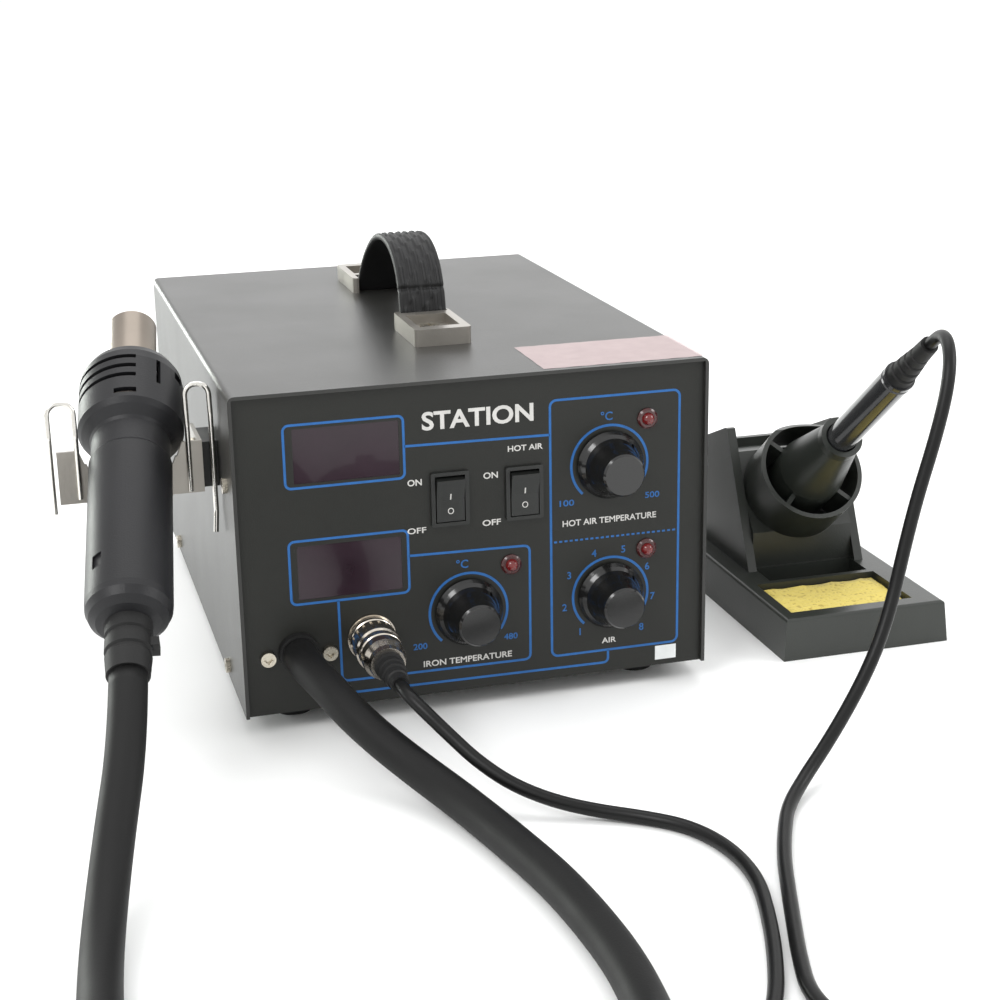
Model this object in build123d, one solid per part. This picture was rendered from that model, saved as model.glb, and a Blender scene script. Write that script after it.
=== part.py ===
from build123d import *
import math
import os

# Hot air rework station with a hot air gun in its side holder and a soldering iron in its stand.
# Working frame of this script, in mm: X to the right along the front of the station, Y to the back, Z up.
# The station's front bottom left corner is at zero and the bench is at Z = -FOOT_H.
# Everything is moved by -ORIGIN at the end, so that the exported frame has its origin
# at the bottom centre of the whole set.

# ---------------- driving dimensions, mm ----------------
CASE_W = 188.0          # station width
CASE_D = 252.0          # station depth
CASE_H = 127.0          # height of the sheet case without the feet
COVER_T = 1.4           # cover sheet
SHEET = 1.2             # chassis and front panel sheet
PANEL_Y = 2.0           # the front panel is recessed by this much
FOOT_H = 8.0
FLOOR = -FOOT_H
ORIGIN = (119.4, 94.5, FLOOR)

WIN_UP = (23.3, 63.8, 91.2, 112.4)      # display windows: x0, x1, z0, z1
WIN_LOW = (23.0, 63.4, 45.3, 66.6)
KNOB_AIR_TEMP = (147.6, 87.2)           # knob centres: x, z
KNOB_AIRFLOW = (148.0, 33.0)
KNOB_IRON_TEMP = (89.4, 33.0)
SWITCH_LEFT = (82.9, 79.8)
SWITCH_RIGHT = (112.6, 79.3)
LEDS = [(163.1, 104.3), (163.0, 50.8), (106.9, 50.4)]
DIN = (50.2, 27.2)
HOSE_HOLE = (21.8, 24.5)
SWITCH_TILT = 7.0                       # a rocker tips this much each way, degrees
RUN = 0.08                              # radial running fit

HOSE_D = 13.4
CABLE_D = 5.0

GUN_B = (-43.8, -40.2, 58.8)            # centre of the gun body's rear end
GUN_DIR = (0.126, 0.857, 0.5)           # gun axis, towards the nozzle
GUN_R = 15.5
GUN_NECK_R = 14.8
GUN_HEAD_R = 20.0
GUN_L = 154.6
NOZZLE_R = 9.6

STAND_X = 264.5                         # plane of symmetry of the stand and the iron
IRON_ELEV = 38.0                        # the iron points up and forward by this much
IRON_K = (STAND_X, 36.6, 78.2)          # the iron axis at the front of the stand's collar
CUP_M = (STAND_X, 64.5, 56.41)           # centre of the cup's mouth
IRON_R = 6.5

# ---------------- helpers ----------------
os.makedirs("parts", exist_ok=True)
NODES = {}


def keep(name, shape):
    NODES[name] = shape


def bx(x0, x1, y0, y1, z0, z1):
    return Pos((x0 + x1) / 2, (y0 + y1) / 2, (z0 + z1) / 2) * Box(x1 - x0, y1 - y0, z1 - z0)


LOW = (Align.CENTER, Align.CENTER, Align.MIN)


def at(origin, z_dir, x_dir=None):
    if x_dir is None:
        return Plane(origin=origin, z_dir=z_dir).location
    return Plane(origin=origin, x_dir=x_dir, z_dir=z_dir).location


def cyl(p, d, r, h):
    return at(p, d) * Cylinder(r, h, align=LOW)


def cone(p, d, r0, r1, h):
    return at(p, d) * Cone(r0, r1, h, align=LOW)


def lathe(points):
    """Solid of revolution about local Z from (radius, height) points."""
    line = Polyline(*[(r, 0, w) for r, w in points], close=True)
    return revolve(make_face(line.edges()), axis=Axis.Z, revolution_arc=360)


def slab(points, x0, x1):
    """A (y, z) outline drawn across X."""
    line = Polyline(*[(x0, y, z) for y, z in points], close=True)
    return extrude(make_face(line.edges()), amount=x1 - x0, dir=(1, 0, 0))


def plate(points, y0, y1):
    """An (x, z) outline drawn along Y."""
    line = Polyline(*[(x, y0, z) for x, z in points], close=True)
    return extrude(make_face(line.edges()), amount=y1 - y0, dir=(0, 1, 0))


def corner_radii(pts):
    out = []
    for a, b, c in zip(pts, pts[1:], pts[2:]):
        u, v = Vector(*b) - Vector(*a), Vector(*c) - Vector(*b)
        turn = math.radians(u.get_angle(v))
        out.append(0.45 * min(u.length, v.length) / math.tan(turn / 2))
    return out


def cord_tube(name, pts, d):
    """Tube of straight runs joined by tangent arcs, as large as the runs allow."""
    radii = corner_radii(pts)
    path = FilletPolyline(*pts, radius=radii)
    wire = Wire(path.edges())
    start = Vector(*pts[1]) - Vector(*pts[0])
    tube = sweep(Plane(origin=pts[0], z_dir=start) * Circle(d / 2), path=wire)
    runs = [(Vector(*b) - Vector(*a)).length for a, b in zip(pts, pts[1:])]
    full = math.pi * d * d / 4 * wire.length
    print(name, "length", round(wire.length, 1), "volume ratio", round(tube.volume / full, 4),
          "runs", [round(r) for r in runs], "radii/d", [round(r / d, 1) for r in radii])
    keep(name, tube)
    return wire.length


def wire_form(pts, radii, r):
    path = Wire(FilletPolyline(*pts, radius=radii).edges())
    start = Vector(*pts[1]) - Vector(*pts[0])
    return sweep(Plane(origin=pts[0], z_dir=start) * Circle(r), path=path)


def screw(p, d, head_r, head_h, shank_r, shank_l):
    """Pan head screw: p is where the head meets the surface, d points outwards."""
    head = cyl(p, d, head_r, head_h)
    inward = tuple(-c for c in d)
    body = cyl(p, inward, shank_r, shank_l)
    cross = at(tuple(p[i] + d[i] * (head_h - 0.7) for i in range(3)), d) * (
        Box(head_r * 1.2, 0.7, 2, align=LOW) + Box(0.7, head_r * 1.2, 2, align=LOW)
    )
    return head + body - cross


# ---------------- station case ----------------
W, D, H = CASE_W, CASE_D, CASE_H
IN = COVER_T
outer = bx(0, W, 0, D, 0, H)
outer = fillet(outer.edges().filter_by(Axis.Y).group_by(Axis.Z)[-1], 2.6)
inner = bx(IN, W - IN, -1, D + 1, -1, H - IN)
inner = fillet(inner.edges().filter_by(Axis.Y).group_by(Axis.Z)[-1], 0.4)
cover = outer - inner
SIDE_SCREWS = [(42.6, 6.0), (207.5, 6.0), (16.7, 89.0)]
for y, z in SIDE_SCREWS:
    cover -= cyl((-1, y, z), (1, 0, 0), 1.7, W + 2)
HOLDER_SCREWS = [(49.0, 87.0), (49.0, 97.0)]
for y, z in HOLDER_SCREWS:
    cover -= cyl((-1, y, z), (1, 0, 0), 1.6, 3)
HANDLE_X = 95.0
HANDLE_SCREWS = [(HANDLE_X, 76.0), (HANDLE_X, 198.0)]
for x, y in HANDLE_SCREWS:
    cover -= cyl((x, y, H - 3), (0, 0, 1), 2.1, 5)
keep("top_cover", cover)

chassis = bx(IN, W - IN, 3.2, 250, 0, SHEET) + bx(IN, W - IN, 248.8, 250, 0, H - IN - 0.5)
chassis += bx(IN, IN + SHEET, 6, 246, SHEET, 12) + bx(W - IN - SHEET, W - IN, 6, 246, SHEET, 12)
for y, z in SIDE_SCREWS[:2]:
    chassis -= cyl((-1, y, z), (1, 0, 0), 1.5, W + 2)
for i in range(8):
    chassis -= bx(30 + 9 * i, 33 + 9 * i, 55, 82, -1, 2)
    chassis -= bx(112 + 8 * i, 115 + 8 * i, 245, 252, 62, 98)
chassis -= bx(31, 59, 245, 252, 18, 38)
chassis -= cyl((80, 245, 28), (0, 1, 0), 5.9, 8)
BOARD_POSTS = [(104, 169), (176, 169), (104, 236), (176, 236)]
for x, y in BOARD_POSTS:
    chassis += cyl((x, y, SHEET), (0, 0, 1), 3.0, 8.8)
keep("chassis", chassis)

panel = bx(IN, W - IN, PANEL_Y, PANEL_Y + SHEET, 0, H - IN - 0.5)
panel += bx(IN, IN + SHEET, 3.2, 22, 14, 120) + bx(W - IN - SHEET, W - IN, 3.2, 22, 14, 120)
panel -= cyl((-1, 16.7, 89.0), (1, 0, 0), 1.5, W + 2)
for x0, x1, z0, z1 in (WIN_UP, WIN_LOW):
    panel -= bx(x0, x1, 1, 4, z0, z1)
for x, z in (SWITCH_LEFT, SWITCH_RIGHT):
    panel -= bx(x - 6.8, x + 6.8, 1, 4, z - 10.2, z + 10.2)
for x, z in (KNOB_AIR_TEMP, KNOB_AIRFLOW, KNOB_IRON_TEMP):
    panel -= cyl((x, 1, z), (0, 1, 0), 3.55, 3)
for x, z in LEDS:
    panel -= cyl((x, 1, z), (0, 1, 0), 3.3, 3)
panel -= cyl((DIN[0], 1, DIN[1]), (0, 1, 0), 7.4, 3)
panel -= cyl((HOSE_HOLE[0], 1, HOSE_HOLE[1]), (0, 1, 0), 7.9, 3)
GLAND_SCREWS = [(9.8, 23.2), (33.8, 22.8)]
for x, z in GLAND_SCREWS:
    panel -= cyl((x, 1, z), (0, 1, 0), 1.3, 3)
keep("front_panel", panel)

feet = None
for x in (22, 166):
    for y in (24, 228):
        foot = cone((x, y, FLOOR), (0, 0, 1), 7.2, 8.0, FOOT_H) - cyl((x, y, FLOOR - 1), (0, 0, 1), 3.2, 4)
        feet = foot if feet is None else feet + foot
keep("feet", feet)

screws = None
for y, z in SIDE_SCREWS:
    for s in (screw((0, y, z), (-1, 0, 0), 3.0, 1.7, 1.5, 5.5), screw((W, y, z), (1, 0, 0), 3.0, 1.7, 1.5, 5.5)):
        screws = s if screws is None else screws + s
for y, z in HOLDER_SCREWS:
    screws += screw((-7.5, y, z), (-1, 0, 0), 3.0, 1.8, 1.6, 12.5) + cyl((IN, y, z), (1, 0, 0), 3.0, 2.4)
for x, z in GLAND_SCREWS:
    screws += screw((x, PANEL_Y, z), (0, -1, 0), 2.9, 2.0, 1.3, 6.0) - cyl((x, -1, z), (0, 1, 0), 1.3, 2.2)
HANDLE_SEAT = H + 3
for x, y in HANDLE_SCREWS:
    screws += screw((x, y, HANDLE_SEAT), (0, 0, 1), 4.0, 1.8, 2.0, 9.0)
keep("case_screws", screws)

# ---------------- displays, lamps and boards ----------------
windows = bx(WIN_UP[0], WIN_UP[1], 2.2, 3.2, WIN_UP[2], WIN_UP[3])
windows += bx(WIN_LOW[0], WIN_LOW[1], 2.2, 3.2, WIN_LOW[2], WIN_LOW[3])
keep("display_windows", windows)

modules = bx(25, 62, 3.2, 10.2, 93, 111) + bx(25, 62, 3.2, 10.2, 47, 65)
keep("display_modules", modules)

pcb = bx(12, 180, 10.2, 11.8, 22, 120) - bx(10, 72, 9, 13, 20, 43)
pcb -= bx(75, 91, 9, 13, 68.5, 91) + bx(104.5, 120.5, 9, 13, 68, 90.5)
for x, z in ((16, 116), (176, 116), (176, 26), (76, 26)):
    pcb += cyl((x, 3.2, z), (0, 1, 0), 2.5, 7.0)
for x, z, w, h in ((130, 108, 12, 8), (100, 106, 14, 9), (125, 60, 10, 16), (160, 66, 12, 10)):
    pcb += bx(x - w / 2, x + w / 2, 11.8, 16, z - h / 2, z + h / 2)
keep("control_board", pcb)

bezels = leds = None
for x, z in LEDS:
    ring = at((x, PANEL_Y + SHEET, z), (0, -1, 0)) * lathe(
        [(2.55, 0), (3.3, 0), (3.3, 1.2), (4.1, 1.2), (4.1, 1.9), (3.4, 2.5), (2.55, 2.5)])
    lamp = at((x, 10.2, z), (0, -1, 0)) * (Cylinder(2.5, 9.4, align=LOW) + Pos(0, 0, 9.4) * Sphere(2.5))
    bezels = ring if bezels is None else bezels + ring
    leds = lamp if leds is None else leds + lamp
keep("led_bezels", bezels)
keep("indicator_leds", leds)

# ---------------- rocker switches ----------------
PIVOT_Y = 3.0


def housing(x, z):
    body = bx(x - 7.5, x + 7.5, 0.6, 2.0, z - 10.75, z + 10.75)
    body = fillet(body.edges().filter_by(Axis.Y), 0.8)
    body += bx(x - 6.8, x + 6.8, 2.0, 17.0, z - 10.2, z + 10.2)
    body -= bx(x - 5.9, x + 5.9, 0, 14.5, z - 9.3, z + 9.3)
    body -= cyl((x - 6.7, PIVOT_Y, z), (1, 0, 0), 1.2 + RUN, 13.4)
    for dz in (-6, 0, 6):
        body += bx(x - 2.4, x + 2.4, 17, 23, z + dz - 0.4, z + dz + 0.4)
    return body


def rocker(x, z, tilt):
    out = [(-8.5, -1.0), (-8.5, 3.54), (0, 2.5), (8.5, 3.54), (8.5, -1.0), (4, -4.5), (-4, -4.5)]
    piece = slab([(PIVOT_Y - o, z + h) for h, o in out], x - 5.5, x + 5.5)
    piece += cyl((x - 6.6, PIVOT_Y, z), (1, 0, 0), 1.2, 13.2)
    return piece.rotate(Axis((x, PIVOT_Y, z), (1, 0, 0)), tilt)


for side, (x, z) in (("left", SWITCH_LEFT), ("right", SWITCH_RIGHT)):
    keep("switch_housing_" + side, housing(x, z))
    keep("switch_rocker_" + side, rocker(x, z, SWITCH_TILT))

# ---------------- knobs and potentiometers ----------------
pots = None
for name, (x, z) in (("air_temp", KNOB_AIR_TEMP), ("airflow", KNOB_AIRFLOW), ("iron_temp", KNOB_IRON_TEMP)):
    place = at((x, PANEL_Y, z), (0, -1, 0), (1, 0, 0))
    knob = lathe([(6.2, 0.8), (13.6, 0.8), (13.6, 1.8), (12.6, 3.2), (11.4, 4.6), (10.4, 7.0), (9.2, 12.0), (8.4, 17.0),
                  (7.7, 17.9), (0, 17.9), (0, 16), (3, 16), (3, 4.6), (6.2, 4.6)])
    knob -= Rot(0, 0, 45) * (Pos(10.9, 0, 2.6) * Cylinder(0.7, 4, align=LOW))
    keep("knob_" + name, place * knob)
    keep("shaft_" + name, place * (Pos(0, 0, -6.8) * Cylinder(3, 22.8, align=LOW)))
    pot = Pos(0, 0, -8.2) * Cylinder(8, 7.0, align=LOW) + Pos(0, 0, -1.3) * Cylinder(3.5, 5.1, align=LOW)
    pot += extrude(RegularPolygon(5.0, 6), amount=1.8)
    pot -= Pos(0, 0, -7.1) * Cylinder(3 + RUN, 12, align=LOW)
    pots = place * pot if pots is None else pots + place * pot
keep("potentiometers", pots)

# ---------------- iron socket and plug ----------------
dx, dz = DIN
out_y = (0, -1, 0)
socket = at((dx, 16, dz), out_y) * lathe(
    [(0, 0), (7.4, 0), (7.4, 14), (9.5, 14), (9.5, 15.8), (7.2, 15.8), (7.2, 22), (5.6, 22), (5.6, 8), (0, 8)])
keep("din_socket", socket)
ring = at((dx, 0, dz), out_y, (1, 0, 0)) * lathe(
    [(7.2 + RUN, 0.3), (8.7, 0.3), (9.0, 0.8), (9.0, 3.0), (8.6, 3.4), (8.6, 4.0), (9.0, 4.4), (9.0, 12.8), (8.4, 13.7),
     (7.2 + RUN, 13.7)])
for i in range(18):
    ring -= at((dx, 0, dz), out_y, (1, 0, 0)) * (Rot(0, 0, 20 * i) * (Pos(9.1, 0, 5.0) * Cylinder(0.5, 7.4, align=LOW)))
keep("din_coupling_ring", ring)
plug = at((dx, 0, dz), out_y) * lathe(
    [(0, -4), (5.5, -4), (5.5, 6.3), (7.2, 6.3), (7.2, 14.3), (8.4, 14.3), (8.4, 17), (7.9, 17.4), (7.9, 18.2), (8.4, 18.6),
     (8.2, 22.5), (7.0, 25.5), (6.6, 28), (0, 28)])
keep("din_plug", plug)
boot = at((dx, 0, dz), out_y) * lathe(
    [(0, 28), (5.6, 28), (5.6, 31), (4.7, 31.4), (4.7, 32.2), (5.3, 32.6), (5.1, 35), (4.3, 35.4), (4.3, 36.2), (4.9, 36.6),
     (4.7, 39), (3.9, 39.4), (3.9, 40.2), (4.4, 40.6), (4.1, 43.5), (3.5, 44), (3.3, 48), (0, 48)])
keep("plug_boot", boot)

# ---------------- hose gland and inner air tube ----------------
hx, hz = HOSE_HOLE
ears = make_hull([*(Pos(9.8, 23.2) * Circle(4.2)).edges(), *(Pos(hx, hz) * Circle(11.2)).edges(),
                  *(Pos(33.8, 22.8) * Circle(4.2)).edges()])
gland = Pos(0, 4.8, 0) * (Rot(90, 0, 0) * extrude(ears, amount=1.6))
gland += cyl((hx, 12, hz), out_y, 7.8, 13.0)
gland -= cyl((hx, 13, hz), out_y, 4.2, 20)
for x, z in GLAND_SCREWS:
    gland -= cyl((x, 9, z), out_y, 1.3, 8)
keep("hose_gland", gland)

AIR_TUBE = [(hx, 12.0, hz), (hx, 34.0, hz), (38.0, 74.0, 40.0), (38.0, 95.0, 40.0)]
keep("inner_air_tube", wire_form(AIR_TUBE, [24, 24], 4.8))

# ---------------- parts inside the case ----------------
pump = bx(18, 82, 95, 195, 14, 70)
pump = fillet(pump.edges().filter_by(Axis.Y), 10)
pump += bx(24, 76, 195, 203, 20, 64) + cyl((60, 150, 69), (0, 0, 1), 14, 7)
keep("air_pump", pump)
mounts = None
for x in (28, 72):
    for y in (107, 183):
        m = cyl((x, y, SHEET), (0, 0, 1), 6, 12.8)
        mounts = m if mounts is None else mounts + m
keep("pump_mounts", mounts)
core = bx(105, 168, 105, 140, 3, 59) - bx(115, 127, 104, 141, 14, 48) - bx(146, 158, 104, 141, 14, 48)
core += bx(98, 175, 108, 137, SHEET, 3)
keep("transformer_core", core)
winding = bx(115.3, 157.7, 96, 149, 14.3, 47.7) - bx(127, 146, 105, 140, 13, 49)
keep("transformer_winding", fillet(winding.edges().filter_by(Axis.Z).group_by(Axis.Y)[0] + winding.edges().filter_by(Axis.Z).group_by(Axis.Y)[-1], 4))
board = bx(98, 180, 163, 242, 10, 11.6)
for x, y, r, h in ((112, 180, 6, 22), (126, 180, 5, 18), (170, 182, 5, 16)):
    board += cyl((x, y, 11.6), (0, 0, 1), r, h)
for i in range(6):
    board += bx(138 + 4 * i, 139.6 + 4 * i, 205, 232, 14, 38)
board += bx(138, 159.6, 205, 232, 11.6, 14) + bx(104, 126, 214, 226, 11.6, 24) + bx(163, 176, 205, 233, 11.6, 22)
keep("main_board", board)

inlet = bx(24, 66, 250, 251.8, 17, 39) + bx(31, 59, 229, 250, 18, 38)
inlet -= bx(33.5, 56.5, 234, 253, 21, 35)
for x, z in ((38, 26), (52, 26), (45, 31)):
    inlet += bx(x - 2, x + 2, 233, 245, z - 1, z + 1)
inlet += cyl((80, 228, 28), (0, 1, 0), 5.9, 22) + cyl((80, 250, 28), (0, 1, 0), 7.5, 2)
inlet += bx(58, 75, 232, 236, 24, 32)
keep("mains_inlet", inlet)

# ---------------- carrying handle ----------------
def handle_cap(y0, y1):
    cap = bx(HANDLE_X - 10.7, HANDLE_X + 13.0, y0, y1, H, H + 7)
    cap = fillet(cap.edges().filter_by(Axis.Z), 2.0)
    return cap


HX0, HX1 = HANDLE_X - 8.0, HANDLE_X + 12.0
caps = handle_cap(57, 96) - bx(HANDLE_X - 7.5, HANDLE_X + 9.5, 63, 87, H + 3, H + 8) - bx(HX0, HX1, 92.6, 97, H - 1, H + 8)
caps += handle_cap(178, 217) - bx(HANDLE_X - 7.5, HANDLE_X + 9.5, 191, 211, H + 3, H + 8) - bx(HX0, HX1, 177, 187, H - 1, H + 8)
for x, y in HANDLE_SCREWS:
    caps -= cyl((x, y, H - 1), (0, 0, 1), 2.1, 6)
keep("handle_caps", caps)
ARCH = [(96.0, 127.0), (96.8, 135.0), (99.4, 144.0), (105.0, 152.0), (115.0, 157.6), (127.0, 159.0), (140.0, 157.6),
        (153.0, 152.6), (166.0, 144.6), (176.0, 135.6), (182.6, 127.0)]
STRAP_T, STRAP_OUT = 3.0, 3.2           # thickness, and how far its outer face lies outside the arch line
left, right = [], []
for i, (y, z) in enumerate(ARCH):
    a, b = ARCH[max(i - 1, 0)], ARCH[min(i + 1, len(ARCH) - 1)]
    ty, tz = b[0] - a[0], b[1] - a[1]
    n = math.hypot(ty, tz)
    ty, tz = ty / n, tz / n
    if i in (0, len(ARCH) - 1):
        ty, tz = (0, 1) if i == 0 else (0, -1)
    left.append((HX0, y - tz * STRAP_OUT, z + ty * STRAP_OUT))
    right.append((HX0, y - tz * (STRAP_OUT - STRAP_T), z + ty * (STRAP_OUT - STRAP_T)))
strap_face = make_face([*Spline(*left).edges(), *Line(left[-1], right[-1]).edges(), *Spline(*right[::-1]).edges(),
                        *Line(right[0], left[0]).edges()])
keep("handle_strap", extrude(strap_face, amount=HX1 - HX0, dir=(1, 0, 0)))

# ---------------- gun holder on the left side ----------------
NOTCH = (-33.0, 102.2, 17.4)
bracket = plate([(-60.5, 82), (-48, 82), (-44, 76), (-22, 76), (-18, 82), (-6, 82), (-6, 102.5), (-60.5, 102.5)], 35, 36.5)
bracket -= cyl((NOTCH[0], 34, NOTCH[1]), (0, 1, 0), NOTCH[2], 4)
bracket -= bx(NOTCH[0] - NOTCH[2], NOTCH[0] + NOTCH[2], 34, 38, NOTCH[1], 104)
bracket -= plate([(NOTCH[0] - 17.3, 97), (NOTCH[0] + 17.3, 97), (NOTCH[0] + 19.6, 103), (NOTCH[0] - 19.6, 103)], 34, 38)
bracket += bx(-7.5, -6, 35, 62, 82, 102.5)
for y, z in HOLDER_SCREWS:
    bracket -= cyl((-9, y, z), (1, 0, 0), 1.6, 4)
keep("holder_bracket", bracket)
spacer = bx(-6, 0, 38, 60, 83, 101)
for y, z in HOLDER_SCREWS:
    spacer -= cyl((-7, y, z), (1, 0, 0), 1.6, 8)
keep("holder_spacer", spacer)
keep("holder_clip_left", wire_form(
    [(-62.8, 34, 79), (-62.8, 34, 108.5), (-62.8, 36, 121), (-53, 36, 121), (-53, 34, 108.5), (-53, 34, 84)],
    [8, 4.4, 4.4, 8], 1.0))
keep("holder_clip_right", wire_form(
    [(-11.3, 34, 83), (-11.3, 34, 109), (-11.3, 36, 124.5), (-2.2, 36, 124.5), (-2.2, 34, 113), (-2.2, 34, 74),
     (-3.2, 31, 66.5)], [8, 4.2, 4.2, 8, 5], 1.0))

# ---------------- hot air gun ----------------
gd = Vector(*GUN_DIR).normalized()
gh = Vector(gd.Y, -gd.X, 0).normalized()
GUN = at(GUN_B, tuple(gd), tuple(gh))      # local X: to the gun's right, local Y: down and back, local Z: to the nozzle
shell = lathe([(6.0, 0), (8.0, 0), (11.5, 0.9), (14.0, 3.2), (15.3, 6.4), (15.5, 9), (15.5, 76.6), (14.8, 78), (14.8, 88),
               (12.8, 88), (12.8, 77), (13.5, 75), (13.5, 9), (12.2, 5.2), (8.5, 2.4), (6.0, 2)])
shell -= Rot(0, 0, -132) * bx(14.5, 17, -2.2, 2.2, 18, 24)
keep("gun_shell_left", GUN * (shell & bx(-30, 0, -30, 30, -5, 95)))
keep("gun_shell_right", GUN * (shell & bx(0, 30, -30, 30, -5, 95)))
head = lathe([(14.8, 88), (15.4, 89.4), (18.6, 92.6), (20.0, 94.8), (20.0, 117), (19.4, 121), (17.4, 125), (14.4, 128.2),
              (11.6, 130), (9.65, 130.4), (9.65, 128.2), (12.2, 127), (15.6, 123.6), (17.6, 119.5), (18.0, 116.5),
              (18.0, 96), (16.8, 94), (12.8, 89.2), (12.8, 88)])
for turn in (0, 180):
    for w0 in (105.6, 110.6, 115.6):
        vent = lathe([(15, w0), (24, w0), (24, w0 + 2.0), (15, w0 + 2.0)])
        head -= Rot(0, 0, turn) * (vent & (Rot(0, 0, 10) * bx(-30, 0.0, -30, 0.0, w0 - 1, w0 + 4)))
    head -= Rot(0, 0, turn - 54.3) * bx(15, 24, -0.9, 0.9, 104.5, 117)
    head -= Rot(0, 0, turn - 91.5) * bx(15, 24, -4.2, 4.2, 96.8, 99.4)
    head -= Rot(0, 0, turn - 22) * bx(15, 24, -2.6, 2.6, 113.6, 117.2)
keep("gun_head", GUN * head)
nozzle = lathe([(8.2, 96), (12.4, 96), (12.4, 98), (9.0, 98), (9.0, 130.6), (9.6, 130.6), (9.6, GUN_L - 0.4), (9.3, GUN_L), (8.8, GUN_L),
                (8.8, 131.4), (8.2, 130.8)])
keep("gun_nozzle", GUN * nozzle)
heater = lathe([(0, 70), (7.2, 70), (7.2, 97), (8.15, 97), (8.15, 99), (7.2, 99), (7.2, 146), (0, 146)])
for i in range(6):
    heater -= Rot(0, 0, 60 * i) * (Pos(4.6, 0, 110) * Cylinder(1.3, 40, align=LOW))
keep("gun_heater_core", GUN * heater)
gboot = lathe([(3, 5), (5.95, 5), (5.95, 0), (8.35, 0), (8.35, -5), (7.6, -5.6), (7.6, -7), (8.35, -7.6), (8.35, -12),
               (7.6, -12.6), (7.6, -14), (8.2, -14.6), (7.6, -22), (3, -22)])
gboot += bx(7.4, 10.6, -3.2, 3.2, -11.5, -7.9)
keep("gun_hose_boot", GUN * gboot)

# ---------------- hose and cable, from their exits to the put away coils ----------------
def gun_point(w):
    return tuple(GUN_B[i] + (gd.X, gd.Y, gd.Z)[i] * w for i in range(3))


ON_FLOOR_H = FLOOR + HOSE_D / 2
ON_FLOOR_C = FLOOR + CABLE_D / 2
HOSE_GUN = [gun_point(-22.4), (-50.2, -83.4, 33.7), (-57.8, -110, 16.8), (-64.2, -138, 3.6), (-68.2, -165, ON_FLOOR_H),
            (-70.4, -193, ON_FLOOR_H), (-71.4, -219, ON_FLOOR_H), (-73.0, -241, ON_FLOOR_H), (-75.2, -259, ON_FLOOR_H)]
HOSE_PANEL = [(21.8, -1.0, 24.5), (21.8, -12, 24.5), (26.6, -26, 21.6), (32.6, -41, 15.8), (41.0, -56, 9.6),
              (50.8, -72, 3.9), (59.8, -90, 0.2), (66.0, -109, ON_FLOOR_H), (70.9, -130, ON_FLOOR_H),
              (75.4, -152, ON_FLOOR_H), (78.4, -177, ON_FLOOR_H), (79.8, -205, ON_FLOOR_H), (78.8, -229, ON_FLOOR_H),
              (76.4, -250, ON_FLOOR_H), (73.0, -268, ON_FLOOR_H)]
CABLE_PLUG = [(50.2, -48, 27.2), (50.2, -55, 27.2), (54.4, -63.0, 23.4), (62.0, -71.5, 15.8), (69.2, -81, 9.2),
              (79.0, -90.5, 3.0), (91.5, -98.5, -1.5), (105.6, -105, -4.4), (120.0, -112.5, ON_FLOOR_C),
              (132.3, -123.5, ON_FLOOR_C), (139.4, -141, ON_FLOOR_C), (140.2, -163, ON_FLOOR_C),
              (133.2, -188, ON_FLOOR_C), (125.4, -210, ON_FLOOR_C), (116.8, -231, ON_FLOOR_C),
              (101.5, -252, ON_FLOOR_C), (90.2, -272, ON_FLOOR_C), (87.6, -286, ON_FLOOR_C)]
CABLE_HANG = [(264.5, -33.53, 132.99), (264.5, -39.05, 137.30), (262.6, -47.5, 139.7), (260.0, -56.0, 137.4),
              (257.2, -62.3, 130.9), (254.0, -66.0, 120.6), (248.6, -69.0, 105.0), (241.4, -71.8, 86.0),
              (234.9, -75.2, 66.4), (228.6, -79.8, 48.0), (219.4, -86.0, 31.6), (208.0, -92.5, 18.2)]
CABLE_FLOOR = [(207.6, -92.75, 17.8), (194.6, -100.2, 6.2), (181.6, -108.4, -2.4), (170.2, -120.6, ON_FLOOR_C),
               (161.2, -137.6, ON_FLOOR_C), (153.2, -155, ON_FLOOR_C), (146.8, -172, ON_FLOOR_C),
               (140.2, -190, ON_FLOOR_C), (132.6, -211, ON_FLOOR_C), (125.6, -231, ON_FLOOR_C),
               (126.6, -250, ON_FLOOR_C), (136.4, -267, ON_FLOOR_C), (141.6, -284, ON_FLOOR_C)]
COIL_H = (-2.0, -300.0, 68.1)        # centre x, y and mean radius of the hose coil
COIL_C = (117.0, -294.0, 27.5)      # and of the cable coil
cord_tube("hose_run_gun", HOSE_GUN, HOSE_D)
cord_tube("hose_run_panel", HOSE_PANEL, HOSE_D)
cord_tube("cable_run_plug", CABLE_PLUG, CABLE_D)
cord_tube("cable_hang", CABLE_HANG, CABLE_D)
cord_tube("cable_run_iron", CABLE_FLOOR, CABLE_D)
keep("hose_coil", Pos(COIL_H[0], COIL_H[1], FLOOR) * (Cylinder(COIL_H[2] + 14.2, 27, align=LOW) - Cylinder(COIL_H[2] - 14.2, 27, align=LOW)))
keep("cable_coil", Pos(COIL_C[0], COIL_C[1], FLOOR) * (Cylinder(COIL_C[2] + 6.0, 11, align=LOW) - Cylinder(COIL_C[2] - 6.0, 11, align=LOW)))

# ---------------- stand ----------------
ca, sa = math.cos(math.radians(IRON_ELEV)), math.sin(math.radians(IRON_ELEV))
A = (0, -ca, sa)
base = Pos(STAND_X, 71, FLOOR) * extrude(Rectangle(76, 130), amount=18, taper=4.6)
base = fillet(base.edges().group_by(Axis.Z)[-1], 1.5)
base -= bx(233.4, 289.6, 15, 51, -4, 12)
base -= bx(241, 288, 54, 71, 1, 12)
base -= bx(243, 286, 78, 124, -4, 12)
keep("stand_tray", base)
sp = bx(234, 289, 15.6, 50.4, -3.7, 8)
sp = fillet(sp.edges().filter_by(Axis.Z), 2.0)
keep("sponge", sp)

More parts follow.
